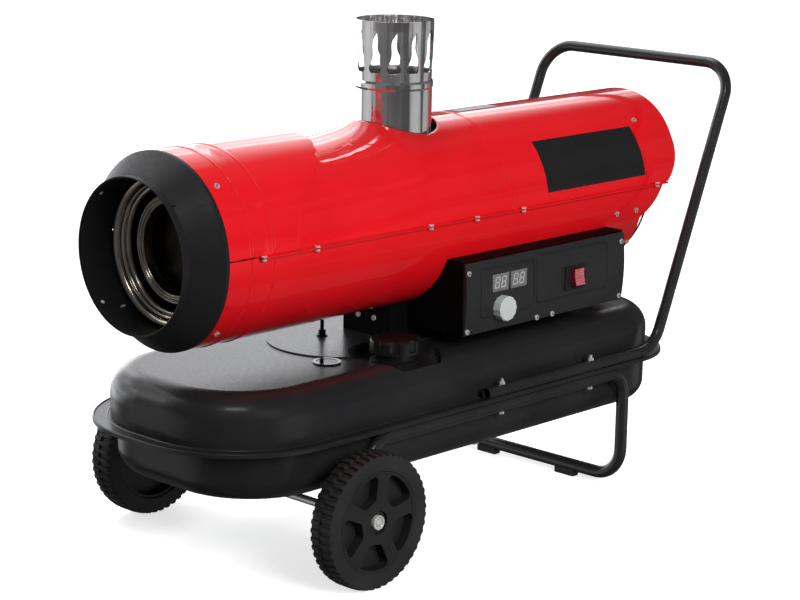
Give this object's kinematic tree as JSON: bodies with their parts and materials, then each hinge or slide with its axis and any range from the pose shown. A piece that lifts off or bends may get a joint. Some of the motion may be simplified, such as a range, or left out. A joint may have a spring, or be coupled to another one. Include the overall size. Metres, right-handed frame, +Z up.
{
  "type": "forced air heater",
  "caption": "Indirect-fired forced air heater: round casing with flue over a wheeled fuel tank, with burner, fan, control box and push handle.",
  "frame": {"origin": "on the floor below the middle of the bounding box", "axes": "+X from the warm air outlet to the rear, -Y towards the control panel, +Z up"},
  "size_m": [1.1316, 0.5194, 0.7694],
  "materials": {
    "red_paint": "high gloss red enamel",
    "black_paint": "satin black powder coat",
    "outlet_black": "matt heat-proof black enamel",
    "stainless": "stainless steel with heat tint",
    "flue_steel": "polished stainless steel",
    "zinc": "bright zinc-plated steel",
    "black_screw": "blackened steel",
    "cast": "cast aluminium",
    "motor_paint": "dark grey enamel",
    "fan_plastic": "moulded black nylon",
    "ceramic": "white glazed porcelain",
    "copper": "bare copper and brass",
    "filter": "clear filter housing",
    "cap_plastic": "moulded black nylon",
    "rubber": "black rubber",
    "gauge_lens": "clear acrylic",
    "needle": "red lacquer",
    "panel": "fine-grained black plastic",
    "display": "smoked display window",
    "knob": "light grey plastic",
    "rocker": "translucent red plastic",
    "switch_black": "glossy black plastic",
    "board": "green circuit board",
    "transformer": "resin-filled black case",
    "lead": "red silicone lead",
    "wheel": "moulded black plastic",
    "tyre": "solid black rubber"
  },
  "bodies": {
    "heater": {"axle": "zinc", "burner_tube": "stainless", "cable_gland": "switch_black", "casing_screws": "zinc", "combustion_chamber": "stainless", "control_board": "board", "control_housing": "black_paint", "control_panel": "panel", "delivery_pipe": "copper", "diffuser_disc": "stainless", "displays": "display", "drain_plug": "zinc", "electrodes": "ceramic", "exchanger_jacket": "stainless", "filler_neck": "black_paint", "flue_cowl": "flue_steel", "flue_pipe": "flue_steel", "flue_spigot": "stainless", "foot_pads": "rubber", "frame_tube": "black_paint", "front_shell": "red_paint", "fuel_filter": "filter", "fuel_pump": "cast", "gauge_body": "zinc", "gauge_lens": "gauge_lens", "handle_tube": "black_paint", "ignition_leads": "lead", "ignition_transformer": "transformer", "lower_shell": "red_paint", "motor": "motor_paint", "motor_bracket": "zinc", "nozzle_holder": "copper", "outlet_cone": "outlet_black", "outlet_liner": "outlet_black", "panel_screws": "black_screw", "pedestal": "black_paint", "photocell": "panel", "potentiometer": "switch_black", "push_caps": "zinc", "rear_guard": "black_paint", "rear_hood": "red_paint", "rocker_frame": "switch_black", "seam_bolts": "zinc", "suction_pipe": "black_screw", "tank_lower": "black_paint", "tank_upper": "black_paint", "tube_bolts": "black_screw", "tube_nuts": "zinc"},
    "left_wheel": {"left_wheel_hub": "wheel", "left_tyre": "tyre"},
    "right_wheel": {"right_wheel_hub": "wheel", "right_tyre": "tyre"},
    "rotor": {"motor_shaft": "zinc", "fan": "fan_plastic"},
    "knob": {"thermostat_knob": "knob"},
    "switch_key": {"rocker": "rocker"},
    "cap_seal": {"cap_gasket": "rubber"},
    "cap": {"fuel_cap": "cap_plastic"},
    "tank_float": {"float_arm": "zinc"},
    "needle": {"gauge_needle": "needle"}
  },
  "joints": [
    {"name": "left_wheel_spin", "type": "hinge", "parent": "heater", "child": "left_wheel", "pos_m": [-0.331, 0.2392, 0.1], "axis": [0, 1, 0], "continuous": true},
    {"name": "right_wheel_spin", "type": "hinge", "parent": "heater", "child": "right_wheel", "pos_m": [-0.331, -0.2392, 0.1], "axis": [0, 1, 0], "continuous": true},
    {"name": "fan_spin", "type": "hinge", "parent": "heater", "child": "rotor", "pos_m": [0.25, 0, 0.475], "axis": [1, 0, 0], "continuous": true},
    {"name": "thermostat_turn", "type": "hinge", "parent": "heater", "child": "knob", "pos_m": [0.0215, -0.17, 0.3415], "axis": [0, -1, 0], "range_deg": [0, 300]},
    {"name": "switch_tip", "type": "hinge", "parent": "heater", "child": "switch_key", "pos_m": [0.195, -0.1665, 0.363], "axis": [1, 0, 0], "range_deg": [0, 16]},
    {"name": "cap_lift", "type": "slide", "parent": "heater", "child": "cap_seal", "axis": [0, 0, 1], "range_m": [0, 0.006]},
    {"name": "cap_turn", "type": "hinge", "parent": "cap_seal", "child": "cap", "pos_m": [-0.147, -0.108, 0.3], "axis": [0, 0, 1], "range_deg": [0, 540]},
    {"name": "float_swing", "type": "hinge", "parent": "heater", "child": "tank_float", "pos_m": [-0.26, -0.079, 0.21], "axis": [0, 1, 0], "range_deg": [0, 72]},
    {"name": "needle_turn", "type": "hinge", "parent": "heater", "child": "needle", "pos_m": [-0.26, -0.079, 0.277], "axis": [0, 0, 1], "range_deg": [0, 90]}
  ],
  "couplings": [
    {"joint": "cap_lift", "follows": "cap_turn", "m_per_rad": 0.0006366},
    {"joint": "needle_turn", "follows": "float_swing", "ratio": 1.249}
  ]
}
